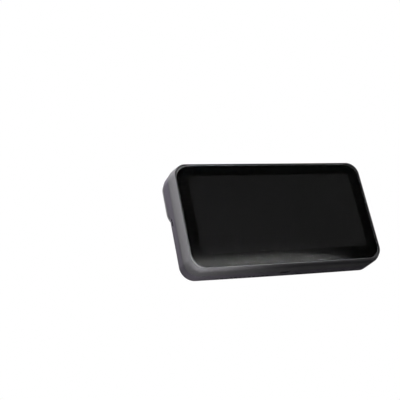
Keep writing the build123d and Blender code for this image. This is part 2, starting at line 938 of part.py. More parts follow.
def blower_shaft():
    return rod(sink_middle, blower_middle, shaft_diameter, blower_face, impeller_back)


def impeller():
    wheel = rod(sink_middle, blower_middle, impeller_hub, impeller_face, impeller_back)
    plate_back = impeller_face + impeller_plate
    wheel += rod(sink_middle, blower_middle, impeller_diameter, impeller_face, plate_back)
    reach = impeller_diameter / 2
    rim = slab(Pos(sink_middle, blower_middle) * Circle(reach), impeller_face, impeller_back)
    blade = slab(Pos(reach / 2, 0) * Rectangle(reach, blade_thickness), impeller_face, impeller_back)
    # Each blade starts inside the hub and leans back from the radius
    blade = Pos(impeller_hub / 2 - blade_thickness, 0, 0) * Rot(0, blade_lean, 0) * blade
    for step in range(impeller_blades):
        turned = Pos(sink_middle, 0, blower_middle) * Rot(0, step * full_turn / impeller_blades, 0) * blade
        wheel += turned & rim
    bore = shaft_diameter + 2 * shaft_fit
    return wheel - rod(sink_middle, blower_middle, bore, impeller_face - cut_over, impeller_back + cut_over)


# Socket

def port_shell():
    outer = Pos(0, port_y) * SlotOverall(port_width, port_tall)
    inner = Pos(0, port_y) * SlotOverall(port_width - 2 * port_wall, port_tall - 2 * port_wall)
    top = port_setback + port_length
    return column(outer, port_setback, top) - column(inner, port_setback - cut_over, top - port_wall)


def port_tongue():
    top = port_setback + port_length - port_wall
    blade = Pos(0, port_y) * Rectangle(tongue_width, tongue_thickness)
    tongue = column(blade, port_setback + tongue_setback, top)
    loss = 2 * port_wall + 2 * screw_gap
    root = SlotOverall(port_width - loss, port_tall - loss)
    tongue += column(Pos(0, port_y) * root, top - tongue_root, top)
    low = port_setback + tongue_setback + port_wall
    groove = Rectangle(contact_width, 2 * contact_depth)
    for step in range(contact_count):
        x = (step - (contact_count - 1) / 2) * contact_pitch
        for side in (-1, 1):
            y = port_y + side * tongue_thickness / 2
            tongue -= column(Pos(x, y) * groove, low, low + contact_length)
    return tongue


def port_board():
    near = port_board_face()
    far = near + port_board_thickness
    board = plate(-port_board_width / 2, port_board_low, port_board_width, port_board_height, near, far)
    for x, z in port_post_places():
        board -= plain_hole(x, z, near - cut_over, far + cut_over)
    return board


# Buttons

def button(place, length):
    top = body_height + button_proud
    flange_top = body_height - frame_wall - button_flange_gap
    flange_low = flange_top - button_flange_height
    cap = column(button_slot(place, length, 0), flange_low, top)
    cap = fillet(cap.edges().filter_by_position(Axis.Z, top, top), button_edge_radius)
    cap += column(button_slot(place, length, button_flange), flange_low, flange_top)
    return cap + column(Pos(place, button_y) * Circle(button_nub / 2), button_low(), flange_low)


def switches():
    low = switch_top() - switch_height
    block = Rectangle(switch_length, switch_width)
    return [column(Pos(place, button_y) * block, low, switch_top()) for place, length in button_sizes()]


def button_board():
    left, width = button_board_span()
    high = switch_top() - switch_height
    depth = button_y + switch_width / 2 - web_back
    middle = Pos(left + width / 2, web_back + depth / 2)
    return column(middle * Rectangle(width, depth), high - button_board_thickness, high)


# Flat cables, aerials and screws

def sensor_ribbon():
    # Runs from the back of the bench to the back of the main board
    low = bench_low + sensor_ribbon_rise
    left = sink_left + sink_width + sensor_ribbon_gap
    return plate(left, low, sensor_ribbon_width, ribbon_thickness, board_back, bench_back)


def aerial(side):
    inner = body_width / 2 - frame_wall
    place = Pos(side * (inner - aerial_thickness / 2), web_back + aerial_width / 2)
    strip = place * Rectangle(aerial_thickness, aerial_width)
    return column(strip, middle_height - aerial_length / 2, middle_height + aerial_length / 2)


def case_screws():
    return [screw(x, z, web_face, 1, screw_length) for x, z in case_boss_places()]


def bench_screws():
    return [screw(x, z, bench_back, 1, screw_length) for x, z in bench_screw_places()]


def board_screws():
    length = board_back - web_face
    return [screw(x, z, board_back, -1, length) for x, z in board_post_places()]


def port_screws():
    return [screw(x, z, port_board_face(), 1, port_screw_length - screw_gap) for x, z in port_post_places()]


parts = {
    "front_frame": front_frame(),
    "cover_glass": cover_glass(),
    "screen_print": screen_print(),
    "screen_adhesive": screen_adhesive(),
    "display_panel": display_panel(),
    "display_ribbon": display_ribbon(),
    "rear_housing": rear_housing(),
    "scan_bezel": scan_bezel(),
    "scan_window": scan_window(),
    "window_mask": window_mask(),
    "window_filters": window_filters(),
    "window_gasket": window_gasket(),
    "strap_pin": strap_pin(),
    "vent_filters": vent_filters(),
    "optical_bench": optical_bench(),
    "pattern_projector": projector(),
    "projector_lens": projector_lens(),
    "flash_holder": flash_holder(),
    "flash_leds": flash_leds(),
    "battery": battery(),
    "main_board": main_board(),
    "board_chips": board_chips(),
    "shield_can": shield_can(),
    "thermal_pad": thermal_pad(),
    "heat_sink": heat_sink(),
    "blower_case": blower_case(),
    "blower_shaft": blower_shaft(),
    "blower_impeller": impeller(),
    "port_shell": port_shell(),
    "port_tongue": port_tongue(),
    "port_board": port_board(),
    "scan_button": button(scan_button_place, scan_button_length),
    "power_button": button(power_button_place, power_button_length),
    "button_switches": switches(),
    "button_board": button_board(),
    "sensor_ribbon": sensor_ribbon(),
    "case_screws": case_screws(),
    "bench_screws": bench_screws(),
    "board_screws": board_screws(),
    "port_screws": port_screws(),
}

# Pairs that mirror each other about the middle of the body
for name, side in (("left", -1), ("right", 1)):
    parts[name + "_stereo_camera"] = camera(side * stereo_offset, row_height, stereo_aperture)
    parts[name + "_stereo_lens"] = camera_lens(side * stereo_offset, row_height, stereo_aperture)
    parts[name + "_corner_camera"] = camera(side * corner_offset, upper_height, corner_aperture)
    parts[name + "_corner_lens"] = camera_lens(side * corner_offset, upper_height, corner_aperture)
    parts[name + "_dot_emitter"] = emitter(side)
    parts[name + "_led_board"] = led_board(side)
    parts[name + "_leds"] = leds(side)
    parts[name + "_aerial"] = aerial(side)

parts["colour_camera"] = camera(0, colour_height, colour_aperture)
parts["colour_lens"] = camera_lens(0, colour_height, colour_aperture)

os.makedirs("parts", exist_ok=True)
for name, shape in parts.items():
    pieces = shape if isinstance(shape, list) else [shape]
    solids = [solid for piece in pieces for solid in piece.solids()]
    export_step(Compound(children=solids), f"parts/{name}.step")
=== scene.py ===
import bpy
import bmesh
import json
import math
from mathutils import Matrix, Vector

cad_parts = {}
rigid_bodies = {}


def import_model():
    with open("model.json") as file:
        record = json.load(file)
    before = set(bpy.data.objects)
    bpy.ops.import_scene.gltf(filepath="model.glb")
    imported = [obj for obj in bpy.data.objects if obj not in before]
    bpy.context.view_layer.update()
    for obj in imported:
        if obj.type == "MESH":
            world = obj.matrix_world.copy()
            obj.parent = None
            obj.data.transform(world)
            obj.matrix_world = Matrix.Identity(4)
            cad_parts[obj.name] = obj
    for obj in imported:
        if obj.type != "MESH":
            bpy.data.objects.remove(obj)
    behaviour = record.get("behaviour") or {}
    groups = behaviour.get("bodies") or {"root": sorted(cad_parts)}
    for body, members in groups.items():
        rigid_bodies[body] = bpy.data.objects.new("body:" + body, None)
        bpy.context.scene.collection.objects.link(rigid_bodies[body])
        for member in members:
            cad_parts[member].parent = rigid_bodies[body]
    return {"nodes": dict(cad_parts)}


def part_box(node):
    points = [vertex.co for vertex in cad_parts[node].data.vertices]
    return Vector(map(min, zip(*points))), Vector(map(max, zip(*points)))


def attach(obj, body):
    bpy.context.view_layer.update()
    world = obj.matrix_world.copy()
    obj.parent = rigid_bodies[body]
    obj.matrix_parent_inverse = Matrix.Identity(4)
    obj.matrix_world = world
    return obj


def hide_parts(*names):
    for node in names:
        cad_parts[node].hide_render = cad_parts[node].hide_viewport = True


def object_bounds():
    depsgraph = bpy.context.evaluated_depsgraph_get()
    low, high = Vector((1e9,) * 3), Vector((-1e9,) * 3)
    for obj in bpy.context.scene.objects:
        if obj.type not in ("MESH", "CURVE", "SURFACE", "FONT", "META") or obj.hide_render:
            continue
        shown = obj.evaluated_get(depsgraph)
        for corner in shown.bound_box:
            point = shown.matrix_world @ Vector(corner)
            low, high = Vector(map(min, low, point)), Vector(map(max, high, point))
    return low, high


# Looks of a handheld scanner that stands on its lower edge: screen towards -Y, scan window towards +Y
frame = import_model()
nodes = frame["nodes"]
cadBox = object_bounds()
scene = bpy.context.scene
scene.view_settings.view_transform = "Standard"
mm = 0.001
print("frame loaded,", len(nodes), "nodes")


def joinNodes(tree, output, target):
    tree.links.new(output, target)


def mathNode(tree, operation, first, second):
    node = tree.nodes.new("ShaderNodeMath")
    node.operation = operation
    for socket, value in zip(node.inputs, (first, second)):
        if isinstance(value, float):
            socket.default_value = value
        else:
            joinNodes(tree, value, socket)
    return node.outputs["Value"]


# Shared effects as node groups
def newGroup(name, inputs, outputs):
    group = bpy.data.node_groups.new(name, "ShaderNodeTree")
    for label, kind in inputs:
        group.interface.new_socket(label, in_out="INPUT", socket_type=kind)
    for label, kind in outputs:
        group.interface.new_socket(label, in_out="OUTPUT", socket_type=kind)
    return group, group.nodes.new("NodeGroupInput"), group.nodes.new("NodeGroupOutput")


grainNoise = dict(detail=3.0, roughness=0.65, slowScale=38.0, slowDetail=2.0)


def buildFineGrain():
    # Speckle of a blasted or moulded skin, with a slow drift of its colour
    group, given, result = newGroup(
        "fineGrain",
        [("Vector", "NodeSocketVector"), ("Colour", "NodeSocketColor"), ("Drift", "NodeSocketFloat"),
         ("Scale", "NodeSocketFloat"), ("Roughness", "NodeSocketFloat"), ("Spread", "NodeSocketFloat")],
        [("Colour", "NodeSocketColor"), ("Roughness", "NodeSocketFloat"), ("Height", "NodeSocketFloat")])
    fine = group.nodes.new("ShaderNodeTexNoise")
    fine.inputs["Detail"].default_value = grainNoise["detail"]
    fine.inputs["Roughness"].default_value = grainNoise["roughness"]
    slow = group.nodes.new("ShaderNodeTexNoise")
    slow.inputs["Scale"].default_value = grainNoise["slowScale"]
    slow.inputs["Detail"].default_value = grainNoise["slowDetail"]
    joinNodes(group, given.outputs["Vector"], fine.inputs["Vector"])
    joinNodes(group, given.outputs["Vector"], slow.inputs["Vector"])
    joinNodes(group, given.outputs["Scale"], fine.inputs["Scale"])
    both = mathNode(group, "ADD", fine.outputs["Fac"], slow.outputs["Fac"])
    swing = mathNode(group, "MULTIPLY", mathNode(group, "SUBTRACT", both, 1.0), given.outputs["Drift"])
    tint = group.nodes.new("ShaderNodeVectorMath")
    tint.operation = "SCALE"
    joinNodes(group, given.outputs["Colour"], tint.inputs["Vector"])
    joinNodes(group, mathNode(group, "ADD", swing, 1.0), tint.inputs["Scale"])
    joinNodes(group, tint.outputs["Vector"], result.inputs["Colour"])
    uneven = mathNode(group, "SUBTRACT", fine.outputs["Fac"], 0.5)
    rough = mathNode(group, "MULTIPLY", uneven, given.outputs["Spread"])
    joinNodes(group, mathNode(group, "ADD", rough, given.outputs["Roughness"]), result.inputs["Roughness"])
    joinNodes(group, fine.outputs["Fac"], result.inputs["Height"])
    return group


wipeNoise = dict(slant=24.0, stretch=(14.0, 60.0, 90.0), detail=4.0, level=0.45)


def buildWipeMarks():
    # Faint smears that a cloth leaves on polished glass
    group, given, result = newGroup(
        "wipeMarks",
        [("Vector", "NodeSocketVector"), ("Roughness", "NodeSocketFloat"), ("Marks", "NodeSocketFloat")],
        [("Roughness", "NodeSocketFloat")])
    turn = group.nodes.new("ShaderNodeMapping")
    turn.inputs["Rotation"].default_value = (0.0, math.radians(wipeNoise["slant"]), 0.0)
    turn.inputs["Scale"].default_value = wipeNoise["stretch"]
    smear = group.nodes.new("ShaderNodeTexNoise")
    smear.inputs["Scale"].default_value = 1.0
    smear.inputs["Detail"].default_value = wipeNoise["detail"]
    joinNodes(group, given.outputs["Vector"], turn.inputs["Vector"])
    joinNodes(group, turn.outputs["Vector"], smear.inputs["Vector"])
    above = mathNode(group, "SUBTRACT", smear.outputs["Fac"], wipeNoise["level"])
    marks = mathNode(group, "MULTIPLY", mathNode(group, "MAXIMUM", above, 0.0), given.outputs["Marks"])
    joinNodes(group, mathNode(group, "ADD", marks, given.outputs["Roughness"]), result.inputs["Roughness"])
    return group


fineGrain = buildFineGrain()
wipeMarks = buildWipeMarks()
print("node groups built")


def newMaterial(name):
    material = bpy.data.materials.new(name)
    material.use_nodes = True
    tree = material.node_tree
    surface = tree.nodes["Principled BSDF"]
    place = tree.nodes.new("ShaderNodeTexCoord")
    return material, tree, surface, place.outputs["Object"]


# What a look takes when it names no value of its own; depth in millimetres
plainSkin = dict(drift=0.08, scale=2500.0, spread=0.12, relief=0.25, depth=0.02, metallic=0.0, specular=0.5,
                 coat=0.0)


def grainMaterial(name, ownLook):
    # Opaque skin: colour, roughness and a fine relief from the grain, all else set on the shader
    look = plainSkin | ownLook
    material, tree, surface, place = newMaterial(name)
    grain = tree.nodes.new("ShaderNodeGroup")
    grain.node_tree = fineGrain
    joinNodes(tree, place, grain.inputs["Vector"])
    grain.inputs["Colour"].default_value = (*look["colour"], 1.0)
    grain.inputs["Drift"].default_value = look["drift"]
    grain.inputs["Scale"].default_value = look["scale"]
    grain.inputs["Roughness"].default_value = look["roughness"]
    grain.inputs["Spread"].default_value = look["spread"]
    joinNodes(tree, grain.outputs["Colour"], surface.inputs["Base Color"])
    joinNodes(tree, grain.outputs["Roughness"], surface.inputs["Roughness"])
    relief = tree.nodes.new("ShaderNodeBump")
    relief.inputs["Strength"].default_value = look["relief"]
    relief.inputs["Distance"].default_value = look["depth"] * mm
    joinNodes(tree, grain.outputs["Height"], relief.inputs["Height"])
    joinNodes(tree, relief.outputs["Normal"], surface.inputs["Normal"])
    surface.inputs["Metallic"].default_value = look["metallic"]
    surface.inputs["Specular IOR Level"].default_value = look["specular"]
    surface.inputs["Coat Weight"].default_value = look["coat"]
    if "glow" in look:
        surface.inputs["Emission Color"].default_value = (*look["glow"], 1.0)
        surface.inputs["Emission Strength"].default_value = 1.0
    return material


def glassMaterial(name, look):
    # Clear plate with a thin coat that takes most of the mirror image away
    material, tree, surface, place = newMaterial(name)
    marks = tree.nodes.new("ShaderNodeGroup")
    marks.node_tree = wipeMarks
    joinNodes(tree, place, marks.inputs["Vector"])
    marks.inputs["Roughness"].default_value = look["roughness"]
    marks.inputs["Marks"].default_value = look["marks"]
    joinNodes(tree, marks.outputs["Roughness"], surface.inputs["Roughness"])
    surface.inputs["Base Color"].default_value = (*look["colour"], 1.0)
    surface.inputs["Transmission Weight"].default_value = 1.0
    surface.inputs["IOR"].default_value = look["ior"]
    return material


def dress(node, material):
    mesh = nodes[node].data
    mesh.materials.clear()
    mesh.materials.append(material)


# Millimetres, and degrees for the sharp edges
copyFinish = dict(weld=0.002, sliver=0.001, level=0.001, airGap=0.03, sharp=28.0)


def smoothCopy(node, name, body, material, airSide=0):
    # Same shape as the node, welded and shaded smooth between its sharp edges; airSide leaves a hair of
    # air behind a glass, so that the print on its back shows
    mesh = nodes[node].data.copy()
    mesh.name = name
    shape = bmesh.new()
    shape.from_mesh(mesh)
    bmesh.ops.remove_doubles(shape, verts=shape.verts, dist=copyFinish["weld"] * mm)
    bmesh.ops.dissolve_degenerate(shape, edges=shape.edges, dist=copyFinish["sliver"] * mm)
    if airSide:
        depths = [vert.co.y for vert in shape.verts]
        back = max(depths) if airSide > 0 else min(depths)
        hidden = [vert for vert in shape.verts if abs(vert.co.y - back) < copyFinish["level"] * mm]
        bmesh.ops.translate(shape, verts=hidden, vec=(0.0, -airSide * copyFinish["airGap"] * mm, 0.0))
    for face in shape.faces:
        face.smooth = True
        face.material_index = 0
    for edge in shape.edges:
        edge.smooth = len(edge.link_faces) == 2 and edge.calc_face_angle() < math.radians(copyFinish["sharp"])
    shape.to_mesh(mesh)
    shape.free()
    stored = mesh.attributes.get("custom_normal")
    if stored:
        mesh.attributes.remove(stored)
    mesh.materials.clear()
    mesh.materials.append(material)
    piece = bpy.data.objects.new(name, mesh)
    scene.collection.objects.link(piece)
    weights = piece.modifiers.new("faceWeights", "WEIGHTED_NORMAL")
    weights.keep_sharp = True
    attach(piece, body)
    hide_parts(node)
    return piece


def addPiece(name, shape, material, body):
    mesh = bpy.data.meshes.new(name)
    shape.to_mesh(mesh)
    shape.free()
    mesh.materials.append(material)
    piece = bpy.data.objects.new(name, mesh)
    scene.collection.objects.link(piece)
    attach(piece, body)
    return piece


# Outside of the body
framePaint = dict(colour=(0.152, 0.149, 0.157), roughness=0.46, spread=0.10, scale=3200.0, drift=0.05,
                  relief=0.22, depth=0.015, specular=0.012)
lipPaint = dict(colour=(0.025, 0.025, 0.026), roughness=0.20, spread=0.06, scale=3200.0, drift=0.05,
                relief=0.10, depth=0.01, specular=0.12, front=-14.5)
# Painted shade: near black for the lip's top run and for the wall that faces the glass
lipPaintedShade = dict(colour=(0.006, 0.006, 0.006), roughness=0.35, spread=0.06, scale=3200.0, drift=0.05,
                relief=0.10, depth=0.01, specular=0.01, low=88.9, wall=-13.5, upright=0.2)
gripPaint = dict(colour=(0.145, 0.1335, 0.160), roughness=0.48, spread=0.10, scale=2800.0, drift=0.05,
                 relief=0.22, depth=0.015, specular=0.012)
# Painted shade: near black for the walls inside the strap slot and the air slots
slotPaintedShade = dict(colour=(0.012, 0.012, 0.013), roughness=0.6, relief=0.1, specular=0.02, inward=0.2,
                 reach=(2.0, 1.0, 2.9), upright=0.5)
rimLine = dict(colour=(0.17, 0.167, 0.176), roughness=0.30, spread=0.08, scale=4200.0, drift=0.04,
               relief=0.10, depth=0.01, metallic=1.0)
buttonPaint = dict(colour=(0.11, 0.105, 0.12), roughness=0.42, spread=0.10, scale=3600.0, drift=0.05,
                   relief=0.2, depth=0.012, specular=0.15)
frontFrame = smoothCopy("front_frame", "frontFrame", "body", grainMaterial("framePaint", framePaint))
frontFrame.data.materials.append(grainMaterial("lipPaint", lipPaint))
frontFrame.data.materials.append(grainMaterial("lipPaintedShade", lipPaintedShade))
screenMiddle = (cadBox[0] + cadBox[1]) / 2
for face in frontFrame.data.polygons:
    # Polished lip round the screen; along its top run and on the wall that faces the glass it is painted near
    # black, as painted shade
    if face.center.y < lipPaint["front"] * mm:
        face.material_index = 2 if face.center.z > lipPaintedShade["low"] * mm else 1
    if face.center.y < lipPaintedShade["wall"] * mm and abs(face.normal.y) < lipPaintedShade["upright"]:
        if face.normal.dot(screenMiddle - face.center) > 0:
            face.material_index = 2
rearHousing = smoothCopy("rear_housing", "rearHousing", "body", grainMaterial("gripPaint", gripPaint))
rearHousing.data.materials.append(grainMaterial("slotPaintedShade", slotPaintedShade))
slotMiddle = sum(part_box("strap_pin"), Vector()) / 2 + Vector((slotPaintedShade["inward"] * mm, 0.0, 0.0))
ventLow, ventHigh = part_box("vent_filters")
for face in rearHousing.data.polygons:
    # Painted shade: the walls inside the strap slot and the air slots are painted near black
    x, y, z = face.center
    inSlot = all(abs(away) < reach * mm for away, reach in zip(face.center - slotMiddle, slotPaintedShade["reach"]))
    inVent = ventLow.x < x < ventHigh.x and ventLow.y < y < ventHigh.y and z < ventLow.z
    isWall = abs(face.normal.z) < slotPaintedShade["upright"]
    if inSlot or (inVent and isWall):
        face.material_index = 1
scanBezel = smoothCopy("scan_bezel", "scanBezel", "body", grainMaterial("rimLine", rimLine))
buttonSkin = grainMaterial("buttonPaint", buttonPaint)
scanButton = smoothCopy("scan_button", "scanButton", "scan_button", buttonSkin)
powerButton = smoothCopy("power_button", "powerButton", "power_button", buttonSkin)
print("body dressed")

# Screen: glass, black print behind its border, and the dark display in its opening
screenGlass = dict(colour=(0.985, 0.985, 0.985), roughness=0.058, marks=0.012, ior=1.055)
screenInk = dict(colour=(0.0004, 0.0004, 0.0004), roughness=0.8, specular=0.0, relief=0.0)
displayFace = dict(colour=(0.0006, 0.0006, 0.0006), roughness=0.7, specular=0.0, scale=6000.0, drift=0.03,
                   relief=0.0, glow=(0.0062, 0.0062, 0.0062))  # dark grey picture on a lit panel
clearPane = glassMaterial("screenGlass", screenGlass)
coverGlass = smoothCopy("cover_glass", "coverGlass", "body", clearPane, airSide=1)
dress("screen_print", grainMaterial("screenInk", screenInk))
dress("display_panel", grainMaterial("displayFace", displayFace))
print("screen dressed")

# Scan window: smoked glass and black mask
windowGlass = dict(colour=(0.95, 0.95, 0.955), roughness=0.03, marks=0.04, ior=1.09)
smokedPane = glassMaterial("windowGlass", windowGlass)
scanWindow = smoothCopy("scan_window", "scanWindow", "body", smokedPane, airSide=-1)
windowInk = dict(colour=(0.0022, 0.0022, 0.0024), roughness=0.8, specular=0.0, scale=900.0, drift=0.1,
                 relief=0.0)
dress("window_mask", grainMaterial("windowInk", windowInk))
print("scan window dressed")

# Filters in the openings of the mask: grey film with the round front of a lens behind it
filterSpots = dict(
    back=13.15, thick=0.10, ringShares=(0.62, 0.30, 0.14), segments=36, checks=4, line=1.15,
    discs=(((36.1, 70.6), 5.1), ((72.0, 81.3), 3.7), ((75.8, 70.6), 2.15), ((68.1, 70.6), 2.15),
           ((60.4, 70.6), 2.15), ((52.7, 70.6), 2.15)),
    colourDisc=((0.0, 55.3), 3.45), squares=((5.8, 81.3), 4.8), frame=((0.0, 70.6), 9.1, 12.1))
filmGrey = dict(colour=(0.060, 0.060, 0.061), roughness=0.6, specular=0.0, scale=900.0, drift=0.22, relief=0.0)
filmShade = dict(colour=(0.028, 0.028, 0.029), roughness=0.5, specular=0.0, scale=900.0, drift=0.2, relief=0.0)
lineGrey = dict(colour=(0.21, 0.21, 0.212), roughness=0.5, specular=0.0, scale=900.0, drift=0.08, relief=0.0)
phosphor = dict(colour=(0.30, 0.27, 0.12), roughness=0.4, specular=0.1, scale=900.0, drift=0.3, relief=0.1)


def faceForward(shape, verts, x, z):
    # From flat on the ground to facing +Y, at a place in the window
    turn = Matrix.Rotation(math.radians(-90.0), 4, "X")
    spot = Matrix.Translation((x * mm, (filterSpots["back"] + filterSpots["thick"]) * mm, z * mm))
    bmesh.ops.transform(shape, matrix=spot @ turn, verts=verts)


def filmDisc(shape, radius):
    made = bmesh.ops.create_circle(shape, cap_ends=True, segments=filterSpots["segments"], radius=radius * mm)
    face = made["verts"][0].link_faces[0]
    width = radius
    for step, share in enumerate(filterSpots["ringShares"]):
        bmesh.ops.inset_region(shape, faces=[face], thickness=(width - radius * share) * mm, use_boundary=True,
                               use_even_offset=True)
        width = radius * share
        face.material_index = (step + 1) % 2


def makeFilms():
    shape = bmesh.new()
    discs = [(side * x, z, radius) for (x, z), radius in filterSpots["discs"] for side in (-1, 1)]
    (x, z), radius = filterSpots["colourDisc"]
    discs.append((x, z, radius))
    for x, z, radius in discs:
        before = set(shape.verts)
        filmDisc(shape, radius)
        faceForward(shape, [vert for vert in shape.verts if vert not in before], x, z)
    (x, z), size = filterSpots["squares"]
    checks = filterSpots["checks"]
    for side in (-1, 1):
        made = bmesh.ops.create_grid(shape, x_segments=checks, y_segments=checks, size=size / 2 * mm)
        for face in {face for vert in made["verts"] for face in vert.link_faces}:
            middle = face.calc_center_median()
            column, row = (int((value / mm + size / 2) / size * checks) for value in middle.xy)
            face.material_index = (column + row) % 2
        faceForward(shape, made["verts"], side * x, z)
    return shape


def makeProjectorLine():
    shape = bmesh.new()
    (x, z), width, height = filterSpots["frame"]
    made = bmesh.ops.create_grid(shape, x_segments=1, y_segments=1, size=0.5 * mm)  # one millimetre square
    bmesh.ops.scale(shape, vec=(width, height, 1.0), verts=made["verts"])
    face = shape.faces[:][0]
    bmesh.ops.inset_region(shape, faces=[face], thickness=filterSpots["line"] * mm, use_boundary=True,
                           use_even_offset=True)
    bmesh.ops.delete(shape, geom=[face], context="FACES_ONLY")
    faceForward(shape, shape.verts[:], x, z)
    return shape


films = addPiece("filterFilms", makeFilms(), grainMaterial("filmGrey", filmGrey), "body")
films.data.materials.append(grainMaterial("filmShade", filmShade))
projectorLine = addPiece("projectorLine", makeProjectorLine(), grainMaterial("lineGrey", lineGrey), "body")
for piece in (films, projectorLine):
    thickness = piece.modifiers.new("filmThickness", "SOLIDIFY")
    thickness.thickness = filterSpots["thick"] * mm
    thickness.offset = -1.0
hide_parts("window_filters")
dress("flash_leds", grainMaterial("phosphor", phosphor))
print("filters made")

# Small fittings that show from outside
socketSteel = dict(colour=(0.10, 0.10, 0.104), roughness=0.32, metallic=1.0, scale=3000.0, drift=0.05, relief=0.05)
socketBlack = dict(colour=(0.012, 0.012, 0.013), roughness=0.5, scale=3000.0, relief=0.05)
ventMesh = dict(colour=(0.005, 0.005, 0.0055), roughness=0.8, specular=0.02, scale=5200.0, drift=0.5, relief=0.9,
                depth=0.1)
pinSteel = dict(colour=(0.06, 0.06, 0.062), roughness=0.4, metallic=1.0, scale=3000.0, relief=0.05)
smoothCopy("port_shell", "portShell", "body", grainMaterial("socketSteel", socketSteel))
dress("port_tongue", grainMaterial("socketBlack", socketBlack))
dress("vent_filters", grainMaterial("ventMesh", ventMesh))
dress("strap_pin", grainMaterial("pinSteel", pinSteel))
print("fittings dressed")

# Pieces inside, seen only where an opening shows them
insideLooks = {
    "blackModule": (dict(colour=(0.012, 0.012, 0.013), roughness=0.55, relief=0.1),
                    ("pattern_projector", "flash_holder", "left_stereo_camera", "right_stereo_camera",
                     "left_corner_camera", "right_corner_camera", "left_dot_emitter", "right_dot_emitter",
                     "colour_camera", "blower_case", "blower_impeller", "board_chips", "button_switches")),
    "lensGlass": (dict(colour=(0.004, 0.0045, 0.006), roughness=0.12, specular=0.06, relief=0.0),
                  ("projector_lens", "left_stereo_lens", "right_stereo_lens", "left_corner_lens",
                   "right_corner_lens", "colour_lens")),
    "lampDome": (dict(colour=(0.55, 0.52, 0.42), roughness=0.2, coat=1.0, relief=0.0), ("left_leds", "right_leds")),
    "benchBlack": (dict(colour=(0.03, 0.03, 0.032), roughness=0.45, metallic=0.6), ("optical_bench",)),
    "solderMask": (dict(colour=(0.012, 0.07, 0.03), roughness=0.4, drift=0.2, scale=700.0),
                   ("main_board", "port_board", "button_board", "left_led_board", "right_led_board")),
    "pouchFilm": (dict(colour=(0.30, 0.31, 0.33), roughness=0.35, metallic=0.8, relief=0.3), ("battery",)),
    "tinPlate": (dict(colour=(0.60, 0.60, 0.60), roughness=0.3, metallic=1.0), ("shield_can",)),
    "bareMetal": (dict(colour=(0.62, 0.62, 0.63), roughness=0.35, metallic=1.0), ("heat_sink",)),
    "screwSteel": (dict(colour=(0.45, 0.45, 0.46), roughness=0.3, metallic=1.0),
                   ("case_screws", "bench_screws", "board_screws", "port_screws", "blower_shaft")),
    "softPad": (dict(colour=(0.28, 0.30, 0.36), roughness=0.8), ("thermal_pad",)),
    "sealRubber": (dict(colour=(0.02, 0.02, 0.02), roughness=0.8), ("screen_adhesive", "window_gasket")),
    "amberFilm": (dict(colour=(0.30, 0.14, 0.04), roughness=0.4, drift=0.15), ("display_ribbon", "sensor_ribbon")),
    "copperStrip": (dict(colour=(0.55, 0.33, 0.14), roughness=0.35, metallic=1.0), ("left_aerial", "right_aerial")),
}
for name, (look, members) in insideLooks.items():
    skin = grainMaterial(name, look)
    for node in members:
        dress(node, skin)
print("inside dressed")

# Gold contacts on the tongue of the socket
contacts = dict(count=6, pitch=1.0 * mm, width=0.40 * mm, length=3.0 * mm, thick=0.06 * mm, sunk=0.8,
                halfTongue=0.35 * mm, rise=2.8 * mm)


def makeContacts():
    low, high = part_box("port_tongue")
    middle = (low + high) / 2
    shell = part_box("port_shell")[0].z
    out = contacts["halfTongue"] - contacts["thick"] * contacts["sunk"]
    shape = bmesh.new()
    for step in range(contacts["count"]):
        across = (step - (contacts["count"] - 1) / 2) * contacts["pitch"]
        for side in (-1, 1):
            made = bmesh.ops.create_cube(shape, size=1.0)
            size = Matrix.Diagonal((contacts["width"], contacts["thick"], contacts["length"], 1.0))
            spot = Vector((across, middle.y + side * out, shell + contacts["rise"]))
            bmesh.ops.transform(shape, matrix=Matrix.Translation(spot) @ size, verts=made["verts"])
    return shape


contactGold = dict(colour=(0.80, 0.55, 0.22), roughness=0.25, metallic=1.0, relief=0.05)
addPiece("goldContacts", makeContacts(), grainMaterial("contactGold", contactGold), "body")
print("contacts made")

# Stage: pale floor that can be seen through from below, soft lamps, white surroundings
stageLook = dict(half=4.0, colour=(0.86, 0.86, 0.87), roughness=0.7, fadeStart=0.15, fadeEnd=0.42,
                 ambient=0.04, ambientTint=(0.97, 0.98, 1.0))
lowCard = dict(low=(0.20, -0.10), high=(1.20, 1.30), drop=0.22, colour=(0.004, 0.004, 0.004), roughness=0.9)


def makeFloor():
    shape = bmesh.new()
    bmesh.ops.create_grid(shape, x_segments=1, y_segments=1, size=stageLook["half"])
    mesh = bpy.data.meshes.new("floor")
    shape.to_mesh(mesh)
    shape.free()
    floor = bpy.data.objects.new("floor", mesh)
    scene.collection.objects.link(floor)
    material, tree, surface, place = newMaterial("floorPale")
    surface.inputs["Base Color"].default_value = (*stageLook["colour"], 1.0)
    surface.inputs["Roughness"].default_value = stageLook["roughness"]
    # Away from the object the floor fades into the white surroundings
    reach = tree.nodes.new("ShaderNodeVectorMath")
    reach.operation = "LENGTH"
    joinNodes(tree, place, reach.inputs["Vector"])
    fade = tree.nodes.new("ShaderNodeMapRange")
    fade.interpolation_type = "SMOOTHSTEP"
    fade.inputs["From Min"].default_value = stageLook["fadeStart"]
    fade.inputs["From Max"].default_value = stageLook["fadeEnd"]
    joinNodes(tree, reach.outputs["Value"], fade.inputs["Value"])
    white = tree.nodes.new("ShaderNodeEmission")
    ground = tree.nodes.new("ShaderNodeMixShader")
    joinNodes(tree, fade.outputs["Result"], ground.inputs["Fac"])
    joinNodes(tree, surface.outputs["BSDF"], ground.inputs[1])
    joinNodes(tree, white.outputs["Emission"], ground.inputs[2])
    clear = tree.nodes.new("ShaderNodeBsdfTransparent")
    side = tree.nodes.new("ShaderNodeNewGeometry")
    choice = tree.nodes.new("ShaderNodeMixShader")
    joinNodes(tree, side.outputs["Backfacing"], choice.inputs["Fac"])
    joinNodes(tree, ground.outputs["Shader"], choice.inputs[1])
    joinNodes(tree, clear.outputs["BSDF"], choice.inputs[2])
    joinNodes(tree, choice.outputs["Shader"], tree.nodes["Material Output"].inputs["Surface"])
    mesh.materials.append(material)
    floor.visible_shadow = False
    floor.visible_diffuse = False
    floor.visible_glossy = False
    floor.visible_transmission = False


